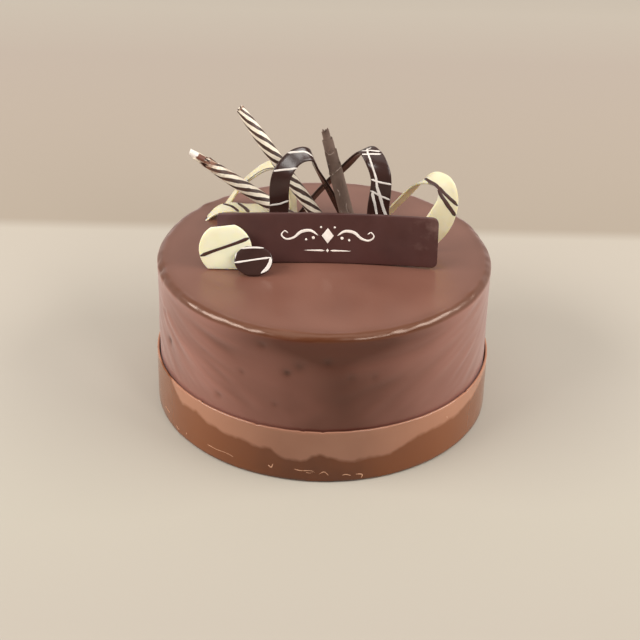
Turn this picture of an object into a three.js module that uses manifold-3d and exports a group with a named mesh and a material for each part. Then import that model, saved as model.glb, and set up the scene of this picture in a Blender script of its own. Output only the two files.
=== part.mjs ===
// Chocolate ice cream cake, 18 cm across: a round glazed cake with a chocolate band round its foot
// and a garnish of plaque, discs, rolled pencils and bent leaves of chocolate standing on its top.
// Millimetres, +Z up. The origin is the centre of the cake's underside, and the front faces -Y.
import * as THREE from "three";
import { mergeVertices } from "three/addons/utils/BufferGeometryUtils.js";
import Module from "manifold-3d";

const wasm = await Module();
wasm.setup();

// Cake and its band
const CAKE_HEIGHT = 86.6;
const CAKE_RADIUS = 90;
const CAKE_FOOT_RADIUS = 90.6;
const CAKE_RIM_ROUNDING = 4;
const CAKE_FOOT_ROUNDING = 1;
const CAKE_RIM_STEPS = 6;
const BAND_HEIGHT = 31;
const BAND_THICKNESS = 1.2;
const BAND_STAND_OFF = 0.6;
const BAND_LIFT = 0.5;
const BAND_EDGE = 0.35;
const BAND_WAVES = [
  { lobes: 2, height: 0.35, turn: 2.4 },
  { lobes: 5, height: 0.2, turn: 0.6 },
];
const ROUND_STEPS = 96;

// Standing pieces keep this clear of what they touch
const REST_GAP = 0.3;

// Plaque: a bowed tablet that leans back
const PLAQUE = {
  length: 116,
  height: 26.6,
  thickness: 2.6,
  leftCorner: 1,
  rightCorner: 3,
  edge: 0.4,
  bow: 5.5,
  lean: 11.5,
  foot: [1.6, -20.1],
};
const PLAQUE_STEPS = 24;

// Discs: round chocolates with a flat cut at the top and the foot, leaning back on their feet.
// Flats are given from the disc's middle, and the upper one may be turned.
const DISC_THICKNESS = 2;
const DISC_EDGE = 0.3;
const DISC_STEPS = 52;
const DISCS = {
  white_disc: {
    breadth: 27.8,
    height: 27.8,
    upperFlat: 12.5,
    upperTurn: 7.4,
    lowerFlat: 10.6,
    foot: [-52, -24.5],
    lean: 16,
    finish: "white",
  },
  dark_disc: {
    breadth: 20.2,
    height: 16.2,
    upperFlat: 7.5,
    upperTurn: 0,
    lowerFlat: 7.8,
    foot: [-36.9, -31.6],
    lean: 34,
    finish: "dark",
  },
};

// Pencils and roll: tubes of rolled chocolate from a foot on the cake to a tip in the air.
// The girth lists the share of the full radius at distances back from the tip.
const PENCIL_SIDES = 20;
const PENCIL_BURIED = 8;
const PENCILS = {
  pencil_tall: {
    foot: [1.3, 24.3, 0],
    tip: [-46.8, 24, 71.4],
    radius: 3.5,
    slant: -0.15,
    seam: 0,
    girth: [[0, 0.62], [8, 0.8], [16, 0.94], [26, 1]],
    finish: "marbled",
  },
  pencil_low: {
    foot: [-14, 31, 0],
    tip: [-74.7, 33, 41.6],
    radius: 3.7,
    slant: 0.2,
    seam: 0,
    girth: [[0, 0.46], [5, 0.54], [10, 0.72], [18, 0.88], [28, 0.97], [38, 1]],
    finish: "marbled",
  },
  dark_roll: {
    foot: [15, 20, 0],
    tip: [-1.1, 22, 60.4],
    radius: 3.6,
    slant: 0.1,
    seam: 0.5,
    girth: [[0, 0.58], [4.6, 0.62], [5.2, 0.76], [10.5, 0.82], [11.4, 0.9], [22, 1]],
    finish: "dark",
  },
};

// Leaves: thin strips bent into loops. Each knot has its place above the cake's top, the way the
// strip lies across, and its width there.
const LEAF_THICKNESS = 1.3;
const LEAF_STEPS = 36;
const LEAVES = {
  dark_loop_left: {
    finish: "dark",
    knots: [
      { at: [-24.6, 1, -2], across: [1, 0.2, 0], width: 9 },
      { at: [-24.8, 3, 21.7], across: [1, 0.2, 0], width: 10.4 },
      { at: [-23.3, 5, 41.9], across: [0.92, 0.05, -0.38], width: 10.4 },
      { at: [-15.6, 11, 49.8], across: [0.45, -0.35, -0.82], width: 9 },
      { at: [-8.9, 15.5, 49], across: [0.3, -0.7, -0.6], width: 8 },
      { at: [-5.4, 20, 39.5], across: [0.44, -0.88, -0.18], width: 7 },
      { at: [1, 26.1, 25.2], across: [0.6, -0.78, 0], width: 7 },
      { at: [13.2, 33.2, -2], across: [0.7, -0.7, 0.12], width: 7 },
    ],
  },
  dark_loop_right: {
    finish: "dark",
    knots: [
      { at: [29.6, 2.5, -2], across: [1, 0.1, 0], width: 13 },
      { at: [28.3, 3, 21.8], across: [1, 0.05, 0], width: 12 },
      { at: [29, 5, 42], across: [1, 0, 0], width: 11 },
      { at: [24.1, 11, 51.8], across: [0.85, 0.5, 0.15], width: 11 },
      { at: [20.5, 18, 51.5], across: [0.66, 0.74, 0.04], width: 9 },
      { at: [8.4, 31.6, 33.1], across: [0.76, 0.635, -0.13], width: 7.5 },
      { at: [-3.1, 39, 17.2], across: [0.72, 0.68, 0.04], width: 7.5 },
      { at: [-14.5, 47, -2], across: [0.7, 0.7, 0.1], width: 6 },
    ],
  },
  white_loop_right: {
    finish: "white",
    knots: [
      { at: [49.5, 1, -2], across: [0.8, 0, -0.6], width: 9 },
      { at: [60.7, 3, 16], across: [0.88, 0.05, -0.48], width: 15 },
      { at: [65.4, 6, 28.4], across: [1, 0.1, -0.08], width: 11.6 },
      { at: [63.4, 9.5, 36.4], across: [0.8, 0.3, 0.5], width: 9.5 },
      { at: [57.2, 14, 37.6], across: [0.5, 0.65, 0.55], width: 8.5 },
      { at: [50.9, 20, 31.9], across: [0.73, 0.68, 0.1], width: 7.5 },
      { at: [44, 27.8, 20.4], across: [0.78, 0.56, -0.1], width: 7 },
      { at: [31, 39.9, -2], across: [0.78, 0.56, -0.1], width: 6 },
    ],
  },
  white_arch_left: {
    finish: "white",
    knots: [
      { at: [-57.5, 54, -2], across: [-0.05, 0.97, 0.12], width: 8 },
      { at: [-45, 47.5, 18.3], across: [0.25, 0.95, 0.25], width: 9 },
      { at: [-30.2, 42, 30.6], across: [0.1, 0.95, 0.2], width: 8.5 },
      { at: [-22.5, 40, 29], across: [0, 1, 0.1], width: 8 },
      { at: [-19.5, 40, 19.5], across: [0.3, 0.95, 0], width: 8 },
      { at: [-17.5, 39, -2], across: [0.5, 0.85, 0], width: 7 },
    ],
  },
  white_curl_low: {
    finish: "white",
    knots: [
      { at: [-67.5, 36, -1.5], across: [0.15, 1, 0], width: 7 },
      { at: [-61.5, 38.5, 2.8], across: [0.1, 1, 0], width: 10 },
      { at: [-55, 41, 4], across: [0.05, 1, 0], width: 11.5 },
      { at: [-45, 43, 2.7], across: [0, 1, 0], width: 11.5 },
      { at: [-36, 43.5, 2.1], across: [0, 1, 0], width: 11.5 },
      { at: [-29, 44, -1.5], across: [0, 1, 0], width: 9 },
    ],
  },
};

// Finishes
const FINISHES = {
  glaze: { color: 0x8a5d4c, roughness: 0.42 },
  band: { color: 0x8c5a41, roughness: 0.3 },
  dark: { color: 0x3d2a26, roughness: 0.35 },
  plaque: { color: 0x4b2c28, roughness: 0.4 },
  white: { color: 0xf3ead0, roughness: 0.4 },
  marbled: { color: 0xd9c3ac, roughness: 0.45 },
};

function finish(name) {
  return new THREE.MeshStandardMaterial({ ...FINISHES[name], metalness: 0 });
}

function named(name, geometry, finishName) {
  const mesh = new THREE.Mesh(geometry, finish(finishName));
  mesh.name = name;
  return mesh;
}

// Radius of the cake's side at a height: it widens a little towards its foot
function sideRadius(z) {
  return THREE.MathUtils.lerp(CAKE_FOOT_RADIUS, CAKE_RADIUS, z / CAKE_HEIGHT);
}

// A lathe turns about Y, so the turned piece is stood up to turn about Z
function turned(profile) {
  return new THREE.LatheGeometry(profile, ROUND_STEPS).rotateX(Math.PI / 2);
}

function cakeBody() {
  const rimCentre = { r: CAKE_RADIUS - CAKE_RIM_ROUNDING, z: CAKE_HEIGHT - CAKE_RIM_ROUNDING };
  const profile = [
    new THREE.Vector2(0, 0),
    new THREE.Vector2(CAKE_FOOT_RADIUS - CAKE_FOOT_ROUNDING, 0),
    new THREE.Vector2(sideRadius(CAKE_FOOT_ROUNDING), CAKE_FOOT_ROUNDING),
  ];
  for (let i = 0; i <= CAKE_RIM_STEPS; i += 1) {
    const angle = (i / CAKE_RIM_STEPS) * (Math.PI / 2);
    const r = rimCentre.r + CAKE_RIM_ROUNDING * Math.cos(angle);
    const z = rimCentre.z + CAKE_RIM_ROUNDING * Math.sin(angle);
    profile.push(new THREE.Vector2(r, z));
  }
  profile.push(new THREE.Vector2(0, CAKE_HEIGHT));
  return turned(profile);
}

// The band follows the cake's side, and its upper edge rises and falls a little round the cake
function chocolateBand() {
  const foot = sideRadius(BAND_LIFT) + BAND_STAND_OFF;
  const top = sideRadius(BAND_HEIGHT) + BAND_STAND_OFF;
  const profile = [
    new THREE.Vector2(foot, BAND_LIFT),
    new THREE.Vector2(foot + BAND_THICKNESS, BAND_LIFT),
    new THREE.Vector2(top + BAND_THICKNESS, BAND_HEIGHT - BAND_EDGE),
    new THREE.Vector2(top + BAND_THICKNESS - BAND_EDGE, BAND_HEIGHT),
    new THREE.Vector2(top, BAND_HEIGHT),
    new THREE.Vector2(foot, BAND_LIFT),
  ];
  const geometry = turned(profile);
  const place = geometry.attributes.position;
  for (let i = 0; i < place.count; i += 1) {
    if (place.getZ(i) > BAND_HEIGHT / 2) {
      const angle = Math.atan2(place.getY(i), place.getX(i));
      const wave = BAND_WAVES.reduce((sum, w) => sum + w.height * Math.cos(w.lobes * angle - w.turn), 0);
      place.setZ(i, place.getZ(i) + wave);
    }
  }
  return geometry;
}

// A closed skin over rings of points that all run the same way round
function loft(rings) {
  const sides = rings[0].length;
  const points = rings.flat();
  const faces = [];
  for (let k = 0; k + 1 < rings.length; k += 1) {
    for (let i = 0; i < sides; i += 1) {
      const a = k * sides + i;
      const b = k * sides + ((i + 1) % sides);
      faces.push(a, b, b + sides, a, b + sides, a + sides);
    }
  }
  const last = (rings.length - 1) * sides;
  for (const [ring, first, inward] of [[rings[0], 0, true], [rings.at(-1), last, false]]) {
    const middle = ring.reduce((sum, p) => sum.add(p), new THREE.Vector3()).divideScalar(sides);
    points.push(middle);
    for (let i = 0; i < sides; i += 1) {
      const a = first + i;
      const b = first + ((i + 1) % sides);
      const hub = points.length - 1;
      faces.push(...(inward ? [hub, b, a] : [hub, a, b]));
    }
  }
  const geometry = new THREE.BufferGeometry().setFromPoints(points);
  geometry.setIndex(faces);
  return geometry;
}

function solidOf(geometry) {
  const bare = geometry.clone();
  bare.deleteAttribute("normal");
  bare.deleteAttribute("uv");
  const merged = mergeVertices(bare, 1e-4);
  const vertProperties = new Float32Array(merged.attributes.position.array);
  const triVerts = new Uint32Array(merged.index.array);
  return new wasm.Manifold(new wasm.Mesh({ numProp: 3, vertProperties, triVerts }));
}

function geometryOf(solid) {
  const { vertProperties, triVerts } = solid.getMesh();
  const geometry = new THREE.BufferGeometry();
  geometry.setAttribute("position", new THREE.BufferAttribute(vertProperties, 3));
  geometry.setIndex(new THREE.BufferAttribute(triVerts, 1));
  return geometry;
}

// Everything below the cake's top is cut away, so that a piece stands on a flat foot
function cutAtTop(geometry) {
  const below = new THREE.BoxGeometry(4 * CAKE_RADIUS, 4 * CAKE_RADIUS, CAKE_HEIGHT);
  below.translate(0, 0, -CAKE_HEIGHT / 2);
  return geometryOf(solidOf(geometry).subtract(solidOf(below)));
}

// The plaque is a row of upright sections along X. Its ends are rounded and come forward.
function plaque() {
  const { length, height, thickness, leftCorner, rightCorner, edge, bow } = PLAQUE;
  const half = length / 2;
  const rings = [];
  for (let k = 0; k <= PLAQUE_STEPS; k += 1) {
    const x = half * Math.sin((k / PLAQUE_STEPS - 0.5) * Math.PI);
    const corner = x < 0 ? leftCorner : rightCorner;
    const past = Math.max(0, Math.abs(x) - (half - corner));
    const inset = corner - Math.sqrt(Math.max(0, corner * corner - past * past));
    const front = bow * (1 - (x / half) ** 2);
    const back = front + thickness;
    const low = inset;
    const high = height - inset;
    const section = [
      [front + edge, low],
      [front, low + edge],
      [front, high - edge],
      [front + edge, high],
      [back - edge, high],
      [back, high - edge],
      [back, low + edge],
      [back - edge, low],
    ];
    rings.push(section.map(([y, z]) => new THREE.Vector3(x, y, z)).reverse());
  }
  return loft(rings);
}

// A disc stands in the XZ plane on its lower flat, with its face towards -Y
function disc({ breadth, height, upperFlat, upperTurn, lowerFlat }) {
  const slope = Math.tan(THREE.MathUtils.degToRad(upperTurn));
  const outline = [];
  for (let i = 0; i < DISC_STEPS; i += 1) {
    const angle = (i / DISC_STEPS) * 2 * Math.PI;
    const x = (breadth / 2 - DISC_EDGE) * Math.cos(angle);
    const round = (height / 2 - DISC_EDGE) * Math.sin(angle);
    const y = Math.max(DISC_EDGE - lowerFlat, Math.min(round, upperFlat - DISC_EDGE + slope * x));
    outline.push(new THREE.Vector2(x, y));
  }
  const geometry = new THREE.ExtrudeGeometry(new THREE.Shape(outline), {
    depth: DISC_THICKNESS - 2 * DISC_EDGE,
    bevelThickness: DISC_EDGE,
    bevelSize: DISC_EDGE,
    bevelSegments: 1,
  });
  return geometry.translate(0, lowerFlat, DISC_EDGE - DISC_THICKNESS).rotateX(Math.PI / 2);
}

// Leans a plate back about its foot, and lifts it until the edge that comes lowest, at its back,
// is on the cake's top
function leaning(mesh, [x, y], lean, depth) {
  const angle = THREE.MathUtils.degToRad(lean);
  mesh.rotation.x = -angle;
  mesh.position.set(x, y, depth * Math.sin(angle));
  return mesh;
}

// A rolled tube. Its side may spiral out from a seam, its girth changes from the tip down, and
// its tip is cut on a slant.
function pencil({ foot, tip, radius, slant, seam, girth }) {
  const end = new THREE.Vector3(...tip);
  const axis = end.clone().sub(new THREE.Vector3(...foot));
  const length = axis.length() + PENCIL_BURIED;
  axis.normalize();
  const side = new THREE.Vector3(0, 1, 0).cross(axis).normalize();
  const face = axis.clone().cross(side);
  const stations = [...girth, [length, 1]].reverse();
  const rings = stations.map(([back, share]) => {
    const ring = [];
    for (let i = 0; i < PENCIL_SIDES; i += 1) {
      const angle = (i / PENCIL_SIDES) * 2 * Math.PI;
      const reach = share * (radius - seam * (1 - i / PENCIL_SIDES));
      const point = end.clone().addScaledVector(axis, slant * reach * Math.cos(angle) - back);
      point.addScaledVector(side, reach * Math.cos(angle));
      point.addScaledVector(face, reach * Math.sin(angle));
      ring.push(point);
    }
    return ring;
  });
  return cutAtTop(loft(rings));
}

// A bent leaf: its spine, the way it lies across and its width all run smoothly from knot to knot
function leaf({ knots }) {
  const spine = new THREE.CatmullRomCurve3(knots.map(({ at }) => new THREE.Vector3(...at)));
  const lie = new THREE.CatmullRomCurve3(knots.map(({ across }) => new THREE.Vector3(...across).normalize()));
  const breadth = new THREE.SplineCurve(knots.map(({ width }, i) => new THREE.Vector2(i, width)));
  const rings = [];
  for (let k = 0; k <= LEAF_STEPS; k += 1) {
    const t = k / LEAF_STEPS;
    const along = spine.getTangent(t);
    const across = lie.getPoint(t);
    across.addScaledVector(along, -across.dot(along)).normalize();
    const out = along.clone().cross(across);
    const half = breadth.getPoint(t).y / 2;
    const thin = LEAF_THICKNESS / 2;
    const section = [
      [half, 0],
      [half - thin, thin],
      [thin - half, thin],
      [-half, 0],
      [thin - half, -thin],
      [half - thin, -thin],
    ];
    const middle = spine.getPoint(t);
    rings.push(section.map(([a, o]) => middle.clone().addScaledVector(across, a).addScaledVector(out, o)));
  }
  return cutAtTop(loft(rings));
}

const cake = new THREE.Group();
cake.add(named("cake_body", cakeBody(), "glaze"));
cake.add(named("chocolate_band", chocolateBand(), "band"));

// The garnish is placed from the cake's top, with its feet just clear of it
const garnish = new THREE.Group();
garnish.position.z = CAKE_HEIGHT + REST_GAP;
cake.add(garnish);

const tablet = named("plaque", plaque(), "plaque");
garnish.add(leaning(tablet, PLAQUE.foot, PLAQUE.lean, PLAQUE.bow + PLAQUE.thickness));
for (const [name, piece] of Object.entries(DISCS)) {
  garnish.add(leaning(named(name, disc(piece), piece.finish), piece.foot, piece.lean, DISC_THICKNESS));
}
for (const [name, piece] of Object.entries(PENCILS)) {
  garnish.add(named(name, pencil(piece), piece.finish));
}
for (const [name, piece] of Object.entries(LEAVES)) {
  garnish.add(named(name, leaf(piece), piece.finish));
}

export default cake;
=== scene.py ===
import math

import bmesh
import bpy
import numpy as np
from mathutils import Matrix, Vector, noise


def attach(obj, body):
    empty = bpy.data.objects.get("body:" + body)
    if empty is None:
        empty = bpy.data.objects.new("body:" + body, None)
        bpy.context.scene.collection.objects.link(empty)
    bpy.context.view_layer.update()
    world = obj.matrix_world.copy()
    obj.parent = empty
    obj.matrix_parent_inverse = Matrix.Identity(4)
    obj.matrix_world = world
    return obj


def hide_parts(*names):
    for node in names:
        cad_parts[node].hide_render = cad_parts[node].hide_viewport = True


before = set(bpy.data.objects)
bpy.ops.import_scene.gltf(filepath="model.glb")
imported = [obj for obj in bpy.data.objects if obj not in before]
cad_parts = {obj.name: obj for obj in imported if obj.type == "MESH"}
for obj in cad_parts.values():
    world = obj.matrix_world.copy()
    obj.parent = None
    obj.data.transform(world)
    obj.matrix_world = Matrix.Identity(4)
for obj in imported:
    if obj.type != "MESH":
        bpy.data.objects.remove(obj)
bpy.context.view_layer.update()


# The cake is a frozen round under a poured coat of milk chocolate glaze, which is all that shows of it.
# The glaze rounded the rim as it ran over, and set with slanting runs, small dimples and thin, dark patches,
# which are partly painted shade; its side is painted lighter than its top as painted light.
# Lengths are in millimetres, and a piece is turned into metres when its mesh is made.
CAKE_HEIGHT = 86.6
CAKE_RADIUS = 90.0
CAKE_FOOT_RADIUS = 90.6
RIM_ROUNDING = 4.0
FOOT_ROUNDING = 1.0
CAKE_STEPS = 384
CAKE_HUB = 0.6
TOP_RINGS = 34
RIM_RINGS = 14
SIDE_RINGS = 58
# Each dimple: degrees round from the front, height, reach and depth
GLAZE_DIMPLES = [
    (-11.0, 63.8, 2.2, 0.9),
    (1.9, 71.2, 2.2, 0.6),
    (-19.2, 77.8, 2.2, 0.6),
    (-63.5, 52.2, 2.2, 0.8),
    (-35.6, 40.2, 2.0, 0.7),
    (-26.5, 59.0, 1.6, 0.5),
    (-15.0, 44.0, 1.8, 0.45),
    (-7.0, 68.0, 3.4, 0.6),
    (-67.0, 67.5, 1.9, 0.55),
    (9.5, 62.0, 2.0, 0.4),
    (17.0, 61.0, 2.2, 0.4),
    (96.0, 61.0, 2.3, 0.45),
    (151.0, 44.0, 2.5, 0.4),
    (-128.0, 66.0, 2.2, 0.5),
    (-76.0, 85.5, 3.0, 1.2),
    (-69.5, 84.0, 2.2, 0.6),
    (-82.0, 84.5, 2.0, 0.5),
]
# Each set of runs on the side: depth, stretch along the height, place in the noise and fineness
GLAZE_RUNS = [(0.34, 0.3, 0, 0.055), (0.42, 0.45, 40, 0.14), (0.26, 0.4, 70, 0.3)]
RUN_LEAN = -0.014
RUN_START_BELOW_TOP = 2.0
RUN_GROWTH = 10.0
# The runs vary in strength from place to place: middle, swing, place in the noise, fineness and limits
RUN_STRENGTH = (0.75, 1.1, 255, 0.028)
RUN_STRENGTH_LIMITS = (0.25, 1.3)
# Waves in the top and in the rim: depth, place in the noise and fineness
TOP_WAVE = (0.09, 4, 0.03)
RIM_WAVES = [(0.3, 11, 0.05), (0.26, 23, 0.16)]
# The lip where the glaze gathered under the rim
LIP_RISE = 0.3
LIP_BELOW_TOP = 3.8
LIP_REACH = 2.4
# Behind the band the glaze is smooth up to this height, and its relief grows over the next stretch
SMOOTH_FOOT = 28.0
SMOOTH_FADE = 14.0
# Where the glaze ran thin on the side and is painted darker, partly as painted shade on the front that faces
# away from the side lamps: degrees round from the front, reach in degrees and share
GLAZE_THIN_AND_SHADE = [(4.5, 31.0, 0.86), (128.0, 30.0, 0.5), (-142.0, 34.0, 0.6)]
# It ran thinner still just under the rim, and is painted darker there, partly as painted shade under the rim:
# share, depth below the top and reach
UNDER_RIM_THIN_AND_SHADE = (0.8, 5.0, 8.0)
# It is thin on the rim and a little way in on the top, painted darker brown there, partly as painted shade
# where the rounding turns from the light: shares, reach and the most it can be
RIM_THIN_AND_SHADE = 3.6
TOP_THIN_AND_SHADE = 0.5
TOP_THIN_AND_SHADE_REACH = 3.0
MOST_THIN_AND_SHADE = 0.9
# How patchy it is on the rim: middle, swing, place in the noise and fineness
RIM_PATCHES = (0.75, 0.5, 31, 0.06)
# How patchy it is on the side: swing, stretch along the height, place in the noise and fineness
SIDE_PATCHES = (0.35, 0.5, 90, 0.05)
# The clouds in the glaze's colour: strength, place in the noise and fineness
GLAZE_CLOUDS = [(1.0, 0, 0.02), (0.5, 50, 0.06)]


def clamped(value, low, high):
    return min(max(value, low), high)


def wander(x, y, z, fineness):
    return noise.noise(Vector((x, y, z)) * fineness)


def cake_side(z):
    return CAKE_FOOT_RADIUS + (CAKE_RADIUS - CAKE_FOOT_RADIUS) * z / CAKE_HEIGHT


def around(degrees, radius, z):
    turn = math.radians(degrees)
    return np.array([radius * math.sin(turn), -radius * math.cos(turn), z])


def skin(rings, joined=False):
    """Points and faces of a skin over rings of points, joined end to start or capped at both ends."""
    sides = len(rings[0])
    points = [p for ring in rings for p in ring]
    faces = []
    for k in range(len(rings) if joined else len(rings) - 1):
        here = k * sides
        there = (k + 1) % len(rings) * sides
        for i in range(sides):
            j = (i + 1) % sides
            faces.append((here + i, here + j, there + j, there + i))
    if not joined:
        for first, ring in ((0, rings[0]), ((len(rings) - 1) * sides, rings[-1])):
            points.append(sum(np.asarray(p) for p in ring) / sides)
            hub = len(points) - 1
            faces += [(hub, first + i, first + (i + 1) % sides) for i in range(sides)]
    return points, faces


def piece(name, points, faces, finish, sharp=40):
    """A mesh object with outward faces, smooth but for edges sharper than the given angle."""
    mesh = bpy.data.meshes.new(name)
    mesh.from_pydata([tuple(np.asarray(p) * 0.001) for p in points], [], faces)
    work = bmesh.new()
    work.from_mesh(mesh)
    bmesh.ops.recalc_face_normals(work, faces=work.faces)
    work.to_mesh(mesh)
    work.free()
    mesh.shade_smooth()
    mesh.set_sharp_from_angle(angle=math.radians(sharp))
    mesh.materials.append(finish)
    made = bpy.data.objects.new(name, mesh)
    bpy.context.collection.objects.link(made)
    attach(made, "root")
    return made


def tone(r, g, b):
    """A screen colour, from 0 to 255, as the shader's linear colour."""
    return tuple(c / 3294.6 if c <= 10 else ((c / 255 + 0.055) / 1.055) ** 2.4 for c in (r, g, b)) + (1.0,)


def add(tree, kind, inputs=(), **settings):
    """A shader node with its settings, whose inputs are values or other nodes' sockets."""
    made = tree.nodes.new("ShaderNode" + kind)
    for key, value in settings.items():
        setattr(made, key, value)
    for key, value in dict(inputs).items():
        if isinstance(value, bpy.types.NodeSocket):
            tree.links.new(value, made.inputs[key])
        else:
            made.inputs[key].default_value = value
    return made


def material(name, sockets):
    """A fresh material with values on its sockets: the material, tree, shader and place on the object."""
    made = bpy.data.materials.new(name)
    made.use_nodes = True
    shader = made.node_tree.nodes["Principled BSDF"]
    for key, value in sockets.items():
        shader.inputs[key].default_value = value
    place = add(made.node_tree, "TexCoord").outputs["Object"]
    return made, made.node_tree, shader, place


def stored(tree, key):
    """A value that is kept at each point of the mesh."""
    return add(tree, "Attribute", attribute_name=key).outputs["Fac"]


def store(made, key, values):
    """Keep a value at each point of a piece, and nought at the points that close its ends."""
    padded = list(values) + [0.0] * (len(made.data.vertices) - len(values))
    made.data.attributes.new(key, "FLOAT", "POINT").data.foreach_set("value", padded)


def part_of(tree, vector, letter):
    return add(tree, "SeparateXYZ", {"Vector": vector}).outputs[letter]


def ramp(tree, factor, stops):
    """A colour that changes along a factor, from a list of (place, colour)."""
    made = add(tree, "ValToRGB", {"Fac": factor})
    while len(made.color_ramp.elements) < len(stops):
        made.color_ramp.elements.new(0.5)
    for element, (where, colour) in zip(made.color_ramp.elements, stops):
        element.position = where
        element.color = colour
    return made.outputs["Color"]


def spread(tree, value, low, high, to_low, to_high):
    """A value stretched from one range to another."""
    limits = {"From Min": low, "From Max": high, "To Min": to_low, "To Max": to_high}
    return add(tree, "MapRange", {"Value": value, **limits}).outputs["Result"]


def mixed(tree, factor, first, second, blend="MIX"):
    """Two colours mixed by a factor."""
    made = add(tree, "Mix", data_type="RGBA", blend_type=blend)
    for key, value in ((0, factor), (6, first), (7, second)):
        if isinstance(value, bpy.types.NodeSocket):
            tree.links.new(value, made.inputs[key])
        else:
            made.inputs[key].default_value = value
    return made.outputs[2]


dimples = []
for turn, z, reach, depth in GLAZE_DIMPLES:
    dimples.append((around(turn, cake_side(z), z).tolist(), reach, depth))


def glaze_swell(x, y, z, rim):
    """How far the glaze stands out at a place, with the share that the rim has in it."""
    lean = RUN_LEAN * z * x / CAKE_RADIUS
    u = x * math.cos(lean) - y * math.sin(lean)
    v = x * math.sin(lean) + y * math.cos(lean)
    middle, swing, seed, fineness = RUN_STRENGTH
    side = clamped((CAKE_HEIGHT - RUN_START_BELOW_TOP - z) / RUN_GROWTH, 0.0, 1.0)
    side *= clamped(middle + swing * wander(x, y, z + seed, fineness), *RUN_STRENGTH_LIMITS)
    depth, seed, fineness = TOP_WAVE
    swell = depth * wander(x, y, seed, fineness)
    for depth, stretch, seed, fineness in GLAZE_RUNS:
        swell += side * depth * wander(u, v, stretch * z + seed, fineness)
    for depth, seed, fineness in RIM_WAVES:
        swell += rim * depth * wander(x, y, seed, fineness)
    swell += LIP_RISE * math.exp(-(((z - CAKE_HEIGHT + LIP_BELOW_TOP) / LIP_REACH) ** 2))
    for (at_x, at_y, at_z), reach, depth in dimples:
        away = ((x - at_x) ** 2 + (y - at_y) ** 2 + (z - at_z) ** 2) / reach**2
        if away < 9:
            swell -= depth * math.exp(-away)
    return swell


# Each ring of the cake: radius, height, and the shares in which its relief goes outward and up
cake_profile = []
for r in np.linspace(CAKE_HUB, CAKE_RADIUS - RIM_ROUNDING - 1.5, TOP_RINGS):
    cake_profile.append((r, CAKE_HEIGHT, 0.0, 1.0))
for step in range(RIM_RINGS + 1):
    turn = step / RIM_RINGS * math.pi / 2
    rim_r = CAKE_RADIUS - RIM_ROUNDING + RIM_ROUNDING * math.sin(turn)
    rim_z = CAKE_HEIGHT - RIM_ROUNDING + RIM_ROUNDING * math.cos(turn)
    cake_profile.append((rim_r, rim_z, math.sin(turn), math.cos(turn)))
for z in np.linspace(CAKE_HEIGHT - RIM_ROUNDING - 1.3, FOOT_ROUNDING, SIDE_RINGS):
    cake_profile.append((cake_side(z), z, 1.0, 0.0))
cake_profile.append((CAKE_FOOT_RADIUS - FOOT_ROUNDING, 0.0, 0.0, 0.0))
cake_profile.append((CAKE_HUB, 0.0, 0.0, 0.0))

cake_rings = []
stands_out = []
for r, z, out, up in cake_profile:
    relief = clamped((z - SMOOTH_FOOT) / SMOOTH_FADE, 0.0, 1.0)
    ring = []
    for step in range(CAKE_STEPS):
        degrees = 360 * step / CAKE_STEPS
        x, y, _ = around(degrees, r, z)
        swell = relief * glaze_swell(x, y, z, 4 * out * up) if out or up else 0.0
        ring.append(around(degrees, r + out * swell, z + up * swell))
        stands_out.append(swell * out)
    cake_rings.append(ring)

glaze_sockets = {
    "Specular IOR Level": 0.55,
    "Specular Tint": tone(255, 226, 205),
    "Coat Weight": 0.22,
    "Coat Roughness": 0.23,
    "Sheen Weight": 0.65,
    "Sheen Roughness": 0.35,
    "Sheen Tint": tone(228, 204, 206),
}
glaze, tree, shader, _ = material("milk_chocolate_glaze", glaze_sockets)
cloud = spread(tree, stored(tree, "cloud"), -0.8, 0.8, 0, 1)
colour = ramp(tree, cloud, [(0.0, tone(102, 61, 45)), (1.0, tone(121, 79, 63))])
# The side is painted lighter and pinker than the top, by how little each place faces up: painted light from
# the side lamps.
facing_up = part_of(tree, add(tree, "NewGeometry").outputs["Normal"], "Z")
colour = mixed(tree, spread(tree, facing_up, 0.15, 0.9, 0.6, 0), colour, tone(160, 110, 100))
# Darker in the hollows of the relief and lighter where it stands out: painted shade, and partly the glaze's
# own tone where it ran thinner.
hollow_shade_stops = [(0.0, tone(128, 110, 100)), (0.46, tone(214, 204, 198)), (1.0, tone(255, 255, 255))]
relief_shade = ramp(tree, spread(tree, stored(tree, "stands_out"), -0.95, 0.35, 0, 1), hollow_shade_stops)
colour = mixed(tree, 1.0, colour, relief_shade, "MULTIPLY")
# Darker where the glaze ran thin on the side and just under the rim: partly the glaze's own tone, partly
# painted shade on the front and under the rim.
thin_and_shade_colour = mixed(tree, 1.0, colour, tone(136, 97, 78), "MULTIPLY")
colour = mixed(tree, stored(tree, "side_thin_and_shade"), colour, thin_and_shade_colour)
# Darker brown on the rim and a little way in on the top: partly thin glaze, partly painted shade where the
# rounding turns from the light.
colour = mixed(tree, stored(tree, "rim_thin_and_shade"), colour, tone(80, 40, 17))
tree.links.new(colour, shader.inputs["Base Color"])
tree.links.new(spread(tree, cloud, 0, 1, 0.28, 0.32), shader.inputs["Roughness"])

cake = piece("cake", *skin(cake_rings), glaze, sharp=60)
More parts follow.
